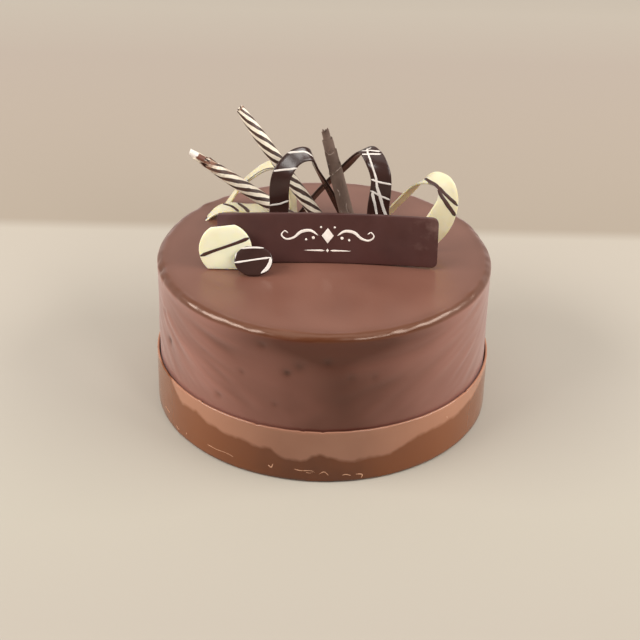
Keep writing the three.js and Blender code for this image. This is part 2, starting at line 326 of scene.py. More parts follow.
# At each point: how much the glaze is painted darker on the rim and on the side, as thin glaze and painted
# shade, and its clouds.
rim_thin_and_shade = []
side_thin_and_shade = []
cloud_at = []
for (r, z, out, up), ring in zip(cake_profile, cake_rings):
    inside = max(CAKE_RADIUS - RIM_ROUNDING - r, 0.0)
    at_rim = up * max(RIM_THIN_AND_SHADE * out, TOP_THIN_AND_SHADE * math.exp(-((inside / TOP_THIN_AND_SHADE_REACH) ** 2)))
    share, below_top, reach = UNDER_RIM_THIN_AND_SHADE
    under_rim = share * math.exp(-(((CAKE_HEIGHT - below_top - z) / reach) ** 2))
    for x, y, _ in ring:
        middle, swing, seed, fineness = RIM_PATCHES
        rim_thin_and_shade.append(min(at_rim * (middle + swing * wander(x, y, seed, fineness)), MOST_THIN_AND_SHADE))
        mist = 0.0
        for strength, seed, fineness in GLAZE_CLOUDS:
            mist += strength * wander(x, y, z + seed, fineness)
        cloud_at.append(mist)
        degrees = math.degrees(math.atan2(x, -y))
        ran = 0.0
        for middle, reach, share in GLAZE_THIN_AND_SHADE:
            away = (degrees - middle + 180) % 360 - 180
            ran += share * math.exp(-((away / reach) ** 2))
        swing, stretch, seed, fineness = SIDE_PATCHES
        ran *= 1 + under_rim + swing * wander(x, y, stretch * z + seed, fineness)
        side_thin_and_shade.append(min(ran * (1 - up), 1.0))
store(cake, "rim_thin_and_shade", rim_thin_and_shade)
store(cake, "side_thin_and_shade", side_thin_and_shade)
store(cake, "stands_out", stands_out)
store(cake, "cloud", cloud_at)
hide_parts("cake_body")


# The band is a sheet of milk chocolate set on acetate and wrapped round the cake's foot while soft.
# It is glossy, with small chips along its edge and scuffs near its foot. Its colour is painted darker below
# an uneven line and paler above it, and lighter toward the left and right: painted reflections of dark
# ground, the pale table and the side lamps in its gloss.
BAND_HEIGHT = 31.0
BAND_THICKNESS = 1.2
BAND_STAND_OFF = 0.6
BAND_LIFT = 0.5
BAND_ROUNDING = 0.45
BAND_BEVEL = 0.3
BAND_STEPS = 540
BAND_ROWS = 22
# Each wave in the upper edge: lobes, height and shift
BAND_WAVES = [(2, 0.35, 2.4), (5, 0.2, 0.6)]
# Finer waves in the edge: depth, place in the noise and fineness
EDGE_WAVE = (0.14, 7, 0.18)
# Ripples in the sheet: depth, stretch along the height, place in the noise and fineness
SHEET_RIPPLES = [(0.1, 0.7, 60, 0.06), (0.04, 1.0, 90, 0.2)]
# Each chip in the upper edge: degrees round from the front, reach in degrees and depth
BAND_CHIPS = [
    (56.9, 0.7, 0.7),
    (-43.5, 0.8, -0.5),
    (-20.8, 1.1, 0.5),
    (-5.8, 0.8, 0.4),
    (0.8, 0.7, 0.5),
    (-63.2, 0.6, 0.4),
    (118.0, 0.8, 0.5),
    (-155.0, 0.9, 0.5),
]
# The line between the painted reflections, dark below and pale above: degrees round from the front and height
BAND_REFLECTION_LINE = [
    (-180, 17), (-160, 21), (-142, 15), (-120, 19), (-102, 15), (-85, 24), (-72, 31), (-62.3, 33),
    (-56.5, 25.8), (-52.6, 22.2), (-45.2, 24.8), (-40.5, 21.5), (-31.6, 20), (-25.2, 19.5), (-19.5, 17.8),
    (-16.1, 19), (-13.8, 15.5), (-6, 13.5), (0, 16.8), (7.4, 13.2), (15.2, 13.8), (23.1, 14.2), (30.3, 19),
    (39.5, 21), (49.4, 20), (60.1, 22.2), (74, 28), (88, 21), (104, 16), (122, 20), (140, 14), (160, 20),
    (180, 17),
]
# Each scuff runs through (degrees round from the front, height)
BAND_SCUFFS = [
    [(-8.2, 7.5), (-6.2, 7.0), (-2.4, 7.2), (-0.5, 5.2), (1.4, 6.8), (3.4, 3.5)],
    [(-4.6, 6.2), (-3.2, 5.8), (-1.6, 6.4)],
    [(6.9, 4.2), (8.5, 4.8), (10.5, 3.5)],
    [(11.5, 4.5), (13.8, 3.8), (13.5, 1.5)],
    [(-40.3, 7.0), (-36.3, 6.8), (-31.7, 7.2), (-28.2, 6.2)],
    [(-68.3, 6.5), (-64.8, 6.8), (-62.9, 6.8)],
    [(-58.0, 4.2), (-56.6, 3.0), (-55.2, 3.0)],
    [(-51.2, 5.5), (-50.7, 4.0)],
    [(-16.8, 7.5), (-15.8, 6.5), (-15.1, 8.8)],
    [(45.8, 24.6), (46.2, 22.0)],
    [(-74.2, 12.0), (-74.0, 10.0)],
    [(103.0, 6.0), (106.0, 7.0), (109.0, 5.5)],
    [(-131.0, 5.0), (-127.0, 6.2)],
]


def band_top(degrees):
    turn = math.radians(degrees - 90)
    height = BAND_HEIGHT + sum(h * math.cos(lobes * turn - shift) for lobes, h, shift in BAND_WAVES)
    depth, seed, fineness = EDGE_WAVE
    x, y, _ = around(degrees, CAKE_RADIUS, 0)
    height += depth * wander(x, y, seed, fineness)
    for at, reach, depth in BAND_CHIPS:
        away = abs((degrees - at + 180) % 360 - 180)
        if away < reach:
            height -= depth * (1 - (away / reach) ** 2)
    return height


def band_face(z):
    return cake_side(z) + BAND_STAND_OFF + BAND_THICKNESS


band_rings = []
for step in range(BAND_STEPS):
    degrees = 360 * step / BAND_STEPS
    top = band_top(degrees)
    section = [
        (band_face(BAND_LIFT) - BAND_THICKNESS, BAND_LIFT),
        (band_face(BAND_LIFT) - BAND_BEVEL, BAND_LIFT),
    ]
    for z in np.linspace(BAND_LIFT + BAND_BEVEL, top - BAND_ROUNDING, BAND_ROWS):
        x, y, _ = around(degrees, 92, z)
        out = band_face(z)
        for depth, stretch, seed, fineness in SHEET_RIPPLES:
            out += depth * wander(x, y, stretch * z + seed, fineness)
        section.append((out, z))
    for turn in (0.35, 0.9, 1.5):
        out = band_face(top) - BAND_ROUNDING + BAND_ROUNDING * math.cos(turn)
        section.append((out, top - BAND_ROUNDING + BAND_ROUNDING * math.sin(turn)))
    section.append((band_face(top) - BAND_THICKNESS + BAND_BEVEL, top))
    section.append((band_face(top) - BAND_THICKNESS, top - BAND_BEVEL))
    section.append((band_face(12) - BAND_THICKNESS, 12.0))
    band_rings.append([around(degrees, r, z) for r, z in section])


def grain(tree, place, scale, detail=3.0):
    """A fine noise over the object."""
    made = add(tree, "TexNoise", {"Vector": place, "Scale": scale, "Detail": detail, "Roughness": 0.55})
    return made.outputs["Fac"]


def mottled(tree, place, scale, low, high, detail=3.0, edge=0.3):
    """A colour that wanders between two screen colours over the object."""
    return ramp(tree, grain(tree, place, scale, detail), [(edge, tone(*low)), (1 - edge, tone(*high))])


def figure(tree, operation, *values):
    """The result of a sum on values or other nodes' sockets."""
    return add(tree, "Math", dict(enumerate(values)), operation=operation).outputs[0]


def bumped(tree, shader, height, strength, distance):
    """A fine relief in a material."""
    made = add(tree, "Bump", {"Height": height, "Strength": strength, "Distance": distance})
    tree.links.new(made.outputs["Normal"], shader.inputs["Normal"])


band_sockets = {"Coat Weight": 0.15, "Coat Roughness": 0.1}
band_choc, tree, shader, place = material("milk_chocolate_sheet", band_sockets)
# Painted reflection: darker below an uneven line and paler above it, as the gloss would mirror dark ground
# and the pale table, and both lighter toward the left and right, as it would mirror the side lamps.
reflection_wobble = spread(tree, grain(tree, place, 90.0, 2.0), 0.2, 0.8, -1.8, 1.8)
reflection_edge = figure(tree, "ADD", stored(tree, "above_reflection_line"), reflection_wobble)
sideways = figure(tree, "ABSOLUTE", part_of(tree, place, "X"))
below = mottled(tree, place, 30.0, (76, 34, 9), (95, 47, 15))
below = mixed(tree, spread(tree, sideways, 0.015, 0.065, 0, 1), below, tone(121, 67, 33))
above = mottled(tree, place, 26.0, (130, 87, 67), (140, 98, 78))
above = mixed(tree, spread(tree, sideways, 0.02, 0.07, 0, 1), above, tone(166, 115, 89))
colour = mixed(tree, spread(tree, reflection_edge, -1.2, 1.2, 0, 1), below, above)
tree.links.new(colour, shader.inputs["Base Color"])
gloss = spread(tree, grain(tree, place, 45.0, 4.0), 0.3, 0.7, 0.16, 0.26)
tree.links.new(gloss, shader.inputs["Roughness"])
bumped(tree, shader, grain(tree, place, 160.0), 0.05, 0.0005)

band = piece("chocolate_sheet_band", *skin(band_rings, joined=True), band_choc, sharp=50)
reflection_line = np.array(BAND_REFLECTION_LINE, float)
levels = []
for vertex in band.data.vertices:
    degrees = math.degrees(math.atan2(vertex.co.x, -vertex.co.y))
    levels.append(vertex.co.z * 1000 - np.interp(degrees, reflection_line[:, 0], reflection_line[:, 1]))
store(band, "above_reflection_line", levels)
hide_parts("chocolate_band")


def through(points, t):
    """A smooth curve through points, at a share t of its knots."""
    pts = np.array(points, float)
    last = len(pts) - 1
    i = min(int(last * t), last - 1)
    w = last * t - i
    p1, p2 = pts[i], pts[i + 1]
    p0 = pts[i - 1] if i > 0 else 2 * p1 - p2
    p3 = pts[i + 2] if i + 2 <= last else 2 * p2 - p1
    d0, d1, d2 = (max(math.sqrt(np.linalg.norm(b - a)), 1e-4) for a, b in ((p0, p1), (p1, p2), (p2, p3)))
    t1 = ((p1 - p0) / d0 - (p2 - p0) / (d0 + d1) + (p2 - p1) / d1) * d1
    t2 = ((p2 - p1) / d1 - (p3 - p1) / (d1 + d2) + (p3 - p2) / d2) * d1
    return p1 + t1 * w + (-3 * p1 + 3 * p2 - 2 * t1 - t2) * w**2 + (2 * p1 - 2 * p2 + t1 + t2) * w**3


BEAD_SINK = 0.06
BEAD_STEPS = 8
BEAD_STATIONS = 9


def bead(surface, line, width, rise, ends=0.4):
    """A low half-round line of chocolate on a surface, through the surface's own coordinates."""
    count = BEAD_STATIONS * (len(line) - 1)
    flat = [through(line, k / count) for k in range(count + 1)]
    path = [surface(*at[:2]) for at in flat]
    wide = [at[2] if len(at) > 2 else width for at in flat]
    rings = []
    for k, (at, out) in enumerate(path):
        ahead = path[min(k + 1, count)][0] - path[max(k - 1, 0)][0]
        side = np.cross(out, ahead)
        side /= np.linalg.norm(side)
        share = ends + (1 - ends) * min(k, count - k, 3) / 3
        ring = []
        for step in range(BEAD_STEPS + 1):
            turn = math.pi * step / BEAD_STEPS
            level = rise * share * math.sin(turn) - BEAD_SINK
            ring.append(at + side * wide[k] / 2 * share * math.cos(turn) + out * level)
        rings.append(ring)
    return skin(rings)


def gathered(parts):
    points, faces = [], []
    for more, their_faces in parts:
        faces += [tuple(i + len(points) for i in face) for face in their_faces]
        points += list(more)
    return points, faces


def on_band(degrees, z):
    return around(degrees, band_face(z), z), around(degrees, 1, 0)


def mottled_chocolate(name, sockets, scale, low, high, detail=3.0, edge=0.3):
    """A fresh material with a mottled colour."""
    made, tree, shader, place = material(name, sockets)
    colour = mottled(tree, place, scale, low, high, detail, edge)
    tree.links.new(colour, shader.inputs["Base Color"])
    return made, tree, shader, place


scuff_sockets = {"Roughness": 0.55, "Specular IOR Level": 0.4}
scuff_looks = (900.0, (168, 118, 88), (214, 168, 136), 2.0, 0.35)
scuffed, tree, shader, place = mottled_chocolate("scuffed_chocolate", scuff_sockets, *scuff_looks)
bumped(tree, shader, grain(tree, place, 1500.0, 2.0), 0.3, 0.0003)

scuffs = piece("band_scuffs", *gathered([bead(on_band, line, 0.55, 0.12) for line in BAND_SCUFFS]), scuffed)


# The plaque is a thin cast tablet of dark chocolate, bowed along its length and leaning back on its foot.
# A small white ornament of cocoa butter is printed on its face; its left end has a faint painted sheen, a
# mauve reflection, and its right end a smudge.
GARNISH_Z = CAKE_HEIGHT + 0.3
PLAQUE_LENGTH = 116.0
PLAQUE_HEIGHT = 26.6
PLAQUE_THICKNESS = 2.6
PLAQUE_CORNERS = (1.0, 3.0)
PLAQUE_BOW = 5.5
PLAQUE_LEAN = math.radians(11.5)
PLAQUE_FOOT = (1.6, -20.1)
PLAQUE_EDGE = 0.55
PLAQUE_SINK = 0.5
PLAQUE_STEPS = 150
PLAQUE_ROWS = 14
# The unevenness of its face: depth, place in the noise and fineness
PLAQUE_WAVE = (0.03, 5, 0.12)


def leaning(foot, lean, lift, local):
    """A place on a plate that leans back about its foot on the cake."""
    x, y, z = local
    back = y * math.cos(lean) + z * math.sin(lean)
    high = z * math.cos(lean) - y * math.sin(lean)
    return np.array([foot[0] + x, foot[1] + back, GARNISH_Z + lift + high])


def on_plaque_local(x, y, z):
    lift = (PLAQUE_BOW + PLAQUE_THICKNESS) * math.sin(PLAQUE_LEAN)
    return leaning(PLAQUE_FOOT, PLAQUE_LEAN, lift, (x, y, z))


def plaque_front(x):
    return PLAQUE_BOW * (1 - (x / (PLAQUE_LENGTH / 2)) ** 2)


def on_plaque(x, z):
    slope = -2 * PLAQUE_BOW * x / (PLAQUE_LENGTH / 2) ** 2
    out = np.array([slope, -math.cos(PLAQUE_LEAN), math.sin(PLAQUE_LEAN)])
    return on_plaque_local(x, plaque_front(x), z), out / np.linalg.norm(out)


plaque_rings = []
for step in range(PLAQUE_STEPS + 1):
    x = PLAQUE_LENGTH / 2 * math.sin((step / PLAQUE_STEPS - 0.5) * math.pi)
    corner = PLAQUE_CORNERS[0] if x < 0 else PLAQUE_CORNERS[1]
    past = max(0.0, abs(x) - (PLAQUE_LENGTH / 2 - corner))
    inset = corner - math.sqrt(max(0.0, corner**2 - past**2))
    front = plaque_front(x) + PLAQUE_EDGE
    back = plaque_front(x) + PLAQUE_THICKNESS - PLAQUE_EDGE
    low = inset - PLAQUE_SINK + PLAQUE_EDGE
    high = PLAQUE_HEIGHT - inset - PLAQUE_EDGE
    section = []
    for y, z, first in ((front, low, 180), (back, low, 270), (back, high, 0), (front, high, 90)):
        for k in range(5):
            turn = math.radians(first + 22.5 * k)
            section.append((y + PLAQUE_EDGE * math.cos(turn), z + PLAQUE_EDGE * math.sin(turn)))
    depth, seed, fineness = PLAQUE_WAVE
    for z in np.linspace(high, low, PLAQUE_ROWS)[1:-1]:
        section.append((front - PLAQUE_EDGE + depth * wander(x, z, seed, fineness), z))
    plaque_rings.append([on_plaque_local(x, y, z) for y, z in section])

plaque_choc, tree, shader, place = material("dark_plaque_chocolate", {})
along = part_of(tree, place, "X")
colour = mottled(tree, place, 60.0, (61, 31, 27), (71, 39, 35), 4.0)
# Painted reflection: a faint lighter mauve sheen toward the left end.
left_end_sheen = figure(tree, "MULTIPLY", spread(tree, along, -0.046, -0.058, 0, 0.55), grain(tree, place, 120.0))
colour = mixed(tree, left_end_sheen, colour, tone(112, 84, 92))
smears = spread(tree, grain(tree, place, 150.0, 4.0), 0.5, 0.75, 0, 1)
smudge = figure(tree, "MULTIPLY", spread(tree, along, 0.042, 0.056, 0, 0.5), smears)
colour = mixed(tree, smudge, colour, tone(120, 92, 84))
tree.links.new(colour, shader.inputs["Base Color"])
gloss = spread(tree, grain(tree, place, 80.0, 4.0), 0.3, 0.7, 0.34, 0.48)
tree.links.new(gloss, shader.inputs["Roughness"])
bumped(tree, shader, grain(tree, place, 500.0), 0.06, 0.0003)

plaque = piece("dark_plaque", *skin(plaque_rings), plaque_choc, sharp=35)
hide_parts("plaque")


SPOT_STEPS = 24
PRINT_RISE = 0.16


def spot(surface, x, z, across, tall, rise, lozenge=False):
    """A low round drop, or a lozenge, on a surface."""
    rings = []
    for share, up in ((1.0, -BEAD_SINK), (1.0, 0.5 * rise), (0.85, 0.9 * rise), (0.4, rise)):
        ring = []
        for step in range(SPOT_STEPS):
            turn = 2 * math.pi * step / SPOT_STEPS
            reach = share / (abs(math.cos(turn)) + abs(math.sin(turn))) if lozenge else share
            at_x = x + reach * across / 2 * math.cos(turn)
            at_z = z + reach * tall / 2 * math.sin(turn)
            at, out = surface(at_x, at_z)
            ring.append(at + out * up)
        rings.append(ring)
    return skin(rings)


print_sockets = {"Roughness": 0.5, "Specular IOR Level": 0.4}
print_tones = ((222, 210, 200), (238, 229, 220))
print_white = mottled_chocolate("white_print", print_sockets, 400.0, *print_tones)[0]

# The scroll and the line under it run through (distance from the middle, height, width)
scroll = [
    (5, 14.6, 0.7),
    (9, 17.2, 1.5),
    (14, 16.6, 1.7),
    (18, 13.4, 1.3),
    (22, 12.6, 1.0),
    (24.4, 14.8, 0.8),
    (22.8, 17, 0.7),
    (20.9, 15.8, 0.6),
]
under = [(1.6, 6.4, 1.1), (6, 6.4, 0.9), (12.6, 6.4, 0.35)]
# Each dot: distance from the middle, height and breadth
dots = [(7.6, 13.4, 1.6), (11.4, 12.4, 1.2), (3.6, 19.2, 1.1)]
ornament = [spot(on_plaque, 0, 14.6, 6.4, 8.4, PRINT_RISE, lozenge=True)]
for hand in (-1, 1):
    ornament.append(bead(on_plaque, [(hand * x, z, wide) for x, z, wide in scroll], 1.0, PRINT_RISE))
    ornament.append(bead(on_plaque, [(hand * x, z, wide) for x, z, wide in under], 1.0, 0.14))
    for x, z, wide in dots:
        ornament.append(spot(on_plaque, hand * x, z, wide, wide, PRINT_RISE))
ornament.append(spot(on_plaque, 0, 6.4, 1.6, 2.0, 0.15, lozenge=True))
flourish = piece("plaque_ornament", *gathered(ornament), print_white)


# The discs are round chocolates set on a smooth sheet: a large white one, and a small dark one before it.
# Each leans back, cut flat where it stands and at its top, with lines of the other chocolate on its face.
DISC_THICKNESS = 2.0
DISC_EDGE = 0.5
DISC_SINK = 0.35
DISC_STEPS = 144


def disc_outline(breadth, height, upper, slope, lower):
    """A round cut off by a sloping line above its middle and a level one below."""
    outline = []
    for step in range(DISC_STEPS):
        turn = 2 * math.pi * step / DISC_STEPS
        x = breadth / 2 * math.cos(turn)
        z = min(height / 2 * math.sin(turn), upper + slope * x)
        outline.append((x, max(z, -lower)))
    return outline


def disc_rings(outline, lower, foot, lean):
    """Rings from the middle of the face, over the rounded edge, to the middle of the back."""
    sections = [(0.05, 0.0, -0.08), (0.4, 0.0, -0.07), (0.75, 0.0, -0.04)]
    corner = []
    for degrees in (0, 30, 60, 90):
        turn = math.radians(degrees)
        corner.append((DISC_EDGE * (1 - math.sin(turn)), DISC_EDGE * (1 - math.cos(turn))))
    for inset, depth in corner:
        sections.append((1.0, inset, depth))
    for inset, depth in reversed(corner):
        sections.append((1.0, inset, DISC_THICKNESS - depth))
    sections.append((0.05, 0.0, DISC_THICKNESS))
    lift = DISC_THICKNESS * math.sin(lean)
    rings = []
    for share, inset, depth in sections:
        ring = []
        for x, z in outline:
            trim = share * (1 - inset / math.hypot(x, z))
            ring.append(leaning(foot, lean, lift, (x * trim, depth, z * trim + lower - DISC_SINK)))
        rings.append(ring)
    return rings


def disc_face(foot, lean):
    """The face of a disc as a surface, in distance from its middle line and height."""
    lift = DISC_THICKNESS * math.sin(lean)
    out = np.array([0, -math.cos(lean), math.sin(lean)])
    return lambda x, z: (leaning(foot, lean, lift, (x, -0.03, z)), out)


def white_chocolate(name, low, high):
    sockets = {
        "Roughness": 0.34,
        "Subsurface Weight": 0.6,
        "Subsurface Radius": (1.0, 0.8, 0.3),
        "Subsurface Scale": 0.003,
    }
    made, tree, shader, place = mottled_chocolate(name, sockets, 55.0, low, high, 2.0, 0.2)
    bumped(tree, shader, grain(tree, place, 500.0), 0.06, 0.0003)
    return made


white_choc = white_chocolate("white_chocolate", (216, 211, 180), (226, 222, 196))

dark_sockets = {"Specular IOR Level": 0.4}
dark_tones = ((44, 26, 22), (56, 35, 30))
dark_choc, tree, shader, place = mottled_chocolate("dark_chocolate", dark_sockets, 60.0, *dark_tones, 4.0)
gloss = spread(tree, grain(tree, place, 90.0, 2.0), 0.2, 0.8, 0.2, 0.26)
tree.links.new(gloss, shader.inputs["Roughness"])
bumped(tree, shader, grain(tree, place, 500.0), 0.06, 0.0003)

line_sockets = {"Roughness": 0.4, "Specular IOR Level": 0.45}
white_line = mottled_chocolate("white_drizzle", line_sockets, 300.0, (196, 186, 178), (216, 208, 200))[0]
dark_line = mottled_chocolate("dark_drizzle", line_sockets, 300.0, (52, 27, 20), (68, 38, 30))[0]
LINE_RISE = 0.16

white_foot = (-52.0, -24.5)
white_lean = math.radians(16)
white_lower = 10.6
white_outline = disc_outline(27.8, 27.8, 12.5, math.tan(math.radians(7.4)), white_lower)
white_rings = disc_rings(white_outline, white_lower, white_foot, white_lean)
white_disc = piece("white_chocolate_disc", *skin(white_rings), white_choc, sharp=70)
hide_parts("white_disc")

stripe = [(-13.1, 6.5), (-6.96, 9.07), (-0.15, 11.6), (6.66, 14.2), (12.4, 16.7)]
stripe_mesh = bead(disc_face(white_foot, white_lean), stripe, 2.1, LINE_RISE)
white_disc_line = piece("white_disc_line", *stripe_mesh, dark_line)

dark_foot = (-36.9, -31.6)
dark_lean = math.radians(34)
dark_lower = 7.8
dark_outline = disc_outline(20.2, 16.2, 7.5, 0.0, dark_lower)
dark_rings = disc_rings(dark_outline, dark_lower, dark_foot, dark_lean)
dark_disc = piece("dark_chocolate_disc", *skin(dark_rings), dark_choc, sharp=70)
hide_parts("dark_disc")

# Each line runs through (distance from the middle line, height, width)
dark_disc_lines = [
    [(-7.2, 13.6, 0.8), (-1.0, 14.3, 1.0), (5.3, 14.2, 0.8)],
    [(-9.9, 6.2, 1.2), (-3.9, 7.2, 1.1), (2.3, 8.3, 1.1), (8.9, 9.3, 1.2)],
    [(9.0, 9.4, 1.0), (8.6, 6.4, 1.9), (7.0, 3.4, 2.0), (4.0, 0.9, 0.8)],
    [(-9.0, 11.8, 0.5), (-9.7, 8.1, 0.4)],
]
dark_face = disc_face(dark_foot, dark_lean)
dark_disc_beads = gathered([bead(dark_face, line, 1.1, LINE_RISE) for line in dark_disc_lines])
dark_disc_drizzle = piece("dark_disc_lines", *dark_disc_beads, white_line)


# The pencils are white and dark chocolate scraped together into tight rolls, so dark stripes wind round.
# The low one is broken at its tip, where an inner roll and a core show, and both are pushed into the glaze.
PENCIL_SIDES = 56
PENCIL_SINK = 1.5
PENCIL_SPACING = 1.6
STRIPE_PITCH = 47.0


def roll_axes(foot, tip):
    """The way along a roll, two ways across it, upper side and back, and its length."""
    axis = np.array(tip, float) - np.array(foot, float)
    length = np.linalg.norm(axis)
    axis /= length
    side = np.cross((0, 1, 0), axis)
    side /= np.linalg.norm(side)
    return axis, side, np.cross(axis, side), length


def rolled(foot, tip, radius, girth, start, ragged, wall, slant=0.0, seam=0.0, seed=0):
    """One layer of a rolled piece, from its foot to a ragged lip that starts some way back from the tip."""
    axis, side, face, length = roll_axes(foot, tip)
    end = np.array(tip, float) + (0, 0, GARNISH_Z)
    backs = np.linspace(length + PENCIL_SINK, start, max(8, int((length - start) / PENCIL_SPACING)))
    distances, shares = zip(*girth)
    rings = []

    def ring_at(back, reach, lip):
        ring = []
        for step in range(PENCIL_SIDES):
            turn = 2 * math.pi * step / PENCIL_SIDES
            out = reach - seam * (1 - step / PENCIL_SIDES)
            right = math.cos(turn)
            behind = math.sin(turn)
            torn = wander(2 * right, 2 * behind, seed, 1) + 0.6 * wander(6 * right, 6 * behind, seed + 3, 1)
            down = back + (ragged * torn if lip else 0) - slant * out * right
            ring.append(end - axis * down + side * out * right + face * out * behind)
        return ring

    for k, back in enumerate(backs):
        reach = radius * np.interp(back, distances, shares)
        reach += 0.06 * wander(0.12 * back, seed, 2, 1)
        rings.append(ring_at(back, reach, k == len(backs) - 1))
    lip = radius * np.interp(start, distances, shares)
    rings.append(ring_at(start - 0.05, lip - 0.35 * wall, True))
    rings.append(ring_at(start + 0.15, lip - wall, True))
    rings.append(ring_at(start + 3.5 + ragged, lip - wall - 0.15, False))
    return skin(rings)


MARBLE_DARK = ((58, 42, 37), (86, 62, 52))


def marbled(name, foot, tip, smear, least=-0.1, starts=5, shift=0.0, dark=MARBLE_DARK):
    """White chocolate with dark stripes that wind round the roll, and brown smears near a broken tip."""
    made, tree, shader, place = material(name, {"Roughness": 0.42, "Specular IOR Level": 0.45})
    axis, side, face, _ = roll_axes(foot, tip)
    end = (np.array(tip, float) + (0, 0, GARNISH_Z)) * 0.001
    away = add(tree, "VectorMath", {0: place, 1: tuple(end)}, operation="SUBTRACT").outputs[0]

    def reach(way):
        return add(tree, "VectorMath", {0: away, 1: tuple(way)}, operation="DOT_PRODUCT").outputs["Value"]

    along = reach(axis)
    turn = figure(tree, "ARCTAN2", reach(face), reach(side))
    wind = figure(tree, "MULTIPLY_ADD", along, 2000 * math.pi * starts / STRIPE_PITCH, shift)
    wind = figure(tree, "MULTIPLY_ADD", turn, starts, wind)
    wobble = spread(tree, grain(tree, place, 160.0), 0.2, 0.8, -0.75, 0.75)
    stripes = figure(tree, "COSINE", figure(tree, "ADD", wind, wobble))
    striped = spread(tree, stripes, least, least + 0.22, 0, 1)
    cream = mottled(tree, place, 200.0, (229, 214, 192), (246, 235, 215), 4.0)
    brown = mottled(tree, place, 260.0, *dark)
    colour = mixed(tree, striped, cream, brown)
    patches = spread(tree, grain(tree, place, 150.0, 2.0), 0.48, 0.58, 0, 0.75)
    near = spread(tree, along, -0.001 * smear, -0.0004 * smear, 0, 1)
    colour = mixed(tree, figure(tree, "MULTIPLY", patches, near), colour, tone(132, 84, 60))
    tree.links.new(colour, shader.inputs["Base Color"])
    bumped(tree, shader, grain(tree, place, 700.0), 0.12, 0.0004)
    return made


# A roll's girth: distance back from the tip and share of its radius
tall_foot = (1.3, 24.3, 0)
tall_tip = (-46.8, 24, 71.4)
tall_girth = [(0, 0.62), (8, 0.8), (16, 0.94), (26, 1)]
tall = rolled(tall_foot, tall_tip, 3.5, tall_girth, 0.4, 0.4, 0.7, slant=0.22, seed=4)
pencil_tall = piece("marbled_pencil_tall", *tall, marbled("marbled_tall", tall_foot, tall_tip, 1.0))
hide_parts("pencil_tall")

low_foot = (-14, 31, 0)
low_tip = (-74.7, 33, 41.6)
low_girth = [(0, 0.46), (5, 0.54), (10, 0.76), (18, 0.89), (28, 0.97), (38, 1)]
low = rolled(low_foot, low_tip, 3.7, low_girth, 10.0, 2.2, 0.5, slant=0.2, seed=9)
pencil_low = piece("marbled_pencil_low", *low, marbled("marbled_low", low_foot, low_tip, 32.0))
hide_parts("pencil_low")

inner = rolled(low_foot, low_tip, 2.4, [(0, 0.86), (6, 1), (40, 1)], 4.2, 2.0, 0.3, slant=-0.3, seed=15)
inner_tones = ((92, 48, 32), (128, 76, 54))
inner_finish = marbled("marbled_inner", low_foot, low_tip, 30.0, 0.6, 1, 1.8, inner_tones)
low_inner = piece("pencil_low_inner_roll", *inner, inner_finish)


FLAKE_HALF = 0.2


def flake(foot, tip, back, turn, reach, length, width, lift):
    """A thin shard on a roll's skin that points to the tip and stands off a little."""
    axis, side, face, _ = roll_axes(foot, tip)
    turn = math.radians(turn)
    out = side * math.cos(turn) + face * math.sin(turn)
    around_it = np.cross(axis, out)
    start = np.array(tip, float) + (0, 0, GARNISH_Z) - axis * back + out * reach
    rings = []
    for share, wide in ((0.0, 1.0), (0.35, 0.9), (0.7, 0.5), (1.0, 0.12)):
        middle = start + axis * length * share + out * lift * share**2
        corners = ((-1, -FLAKE_HALF), (1, -FLAKE_HALF), (1, FLAKE_HALF), (-1, FLAKE_HALF))
        rings.append([middle + around_it * a * wide * width / 2 + out * b for a, b in corners])
    return skin(rings)


# Each flake: distance back from the tip, degrees round, reach, length, width and lift
low_flakes = [
    (13.5, 175, 2.6, 4.2, 1.2, 0.15),
    (13.0, 140, 2.7, 3.0, 1.5, 0.2),
    (12.0, 255, 2.65, 4.0, 2.2, 0.3),
    (16.0, 20, 2.9, 5.2, 2.4, 0.3),
    (13.0, 320, 2.7, 4.4, 1.6, 0.2),
]
shards = [flake(low_foot, low_tip, *measures) for measures in low_flakes]
low_shards = piece("pencil_low_flakes", *gathered(shards), dark_choc, sharp=30)

core = rolled(low_foot, low_tip, 2.1, [(0, 0.74), (4, 0.96), (40, 1)], 0.0, 0.25, 0.5, slant=0.25, seed=21)
low_core = piece("pencil_low_core", *core, print_white)


# The dark roll is a sheet of dark chocolate scraped into a tight quill, with a seam along it.
# Its layers broke off one behind another at the top, and flakes show pale along the breaks.
ROLL_FOOT = (15, 20, 0)
ROLL_TIP = (-1.1, 22, 60.4)
quill_sockets = {"Roughness": 0.6, "Specular IOR Level": 0.3}
quill, tree, shader, place = material("scraped_dark_chocolate", quill_sockets)
rubbed = mottled(tree, place, 80.0, (82, 64, 55), (114, 94, 83), 5.0)
stretched = add(tree, "VectorMath", {0: place, 1: (1, 1, 0.15)}, operation="MULTIPLY").outputs[0]
scratches = spread(tree, grain(tree, stretched, 900.0), 0.62, 0.74, 0, 0.55)
tree.links.new(mixed(tree, scratches, rubbed, tone(130, 102, 89)), shader.inputs["Base Color"])
bumped(tree, shader, grain(tree, stretched, 600.0, 4.0), 0.25, 0.0005)

# Each layer: radius, girth, where it starts, raggedness, wall, slant, seam and place in the noise
quill_layers = [
    (3.7, [(0, 0.9), (11.4, 0.95), (22, 1)], 11.4, 1.6, 0.5, 0.1, 0.6, 31),
    (4.0, [(0, 0.96), (22, 0.98), (34, 1)], 21.5, 2.6, 0.35, 0.8, 0.5, 52),
    (3.1, [(0, 0.96), (12, 1), (30, 1)], 5.0, 0.7, 0.45, 0.1, 0.3, 37),
    (2.15, [(0, 0.96), (12, 1), (30, 1)], 0.2, 1.3, 0.5, 0.1, 0.0, 44),
]
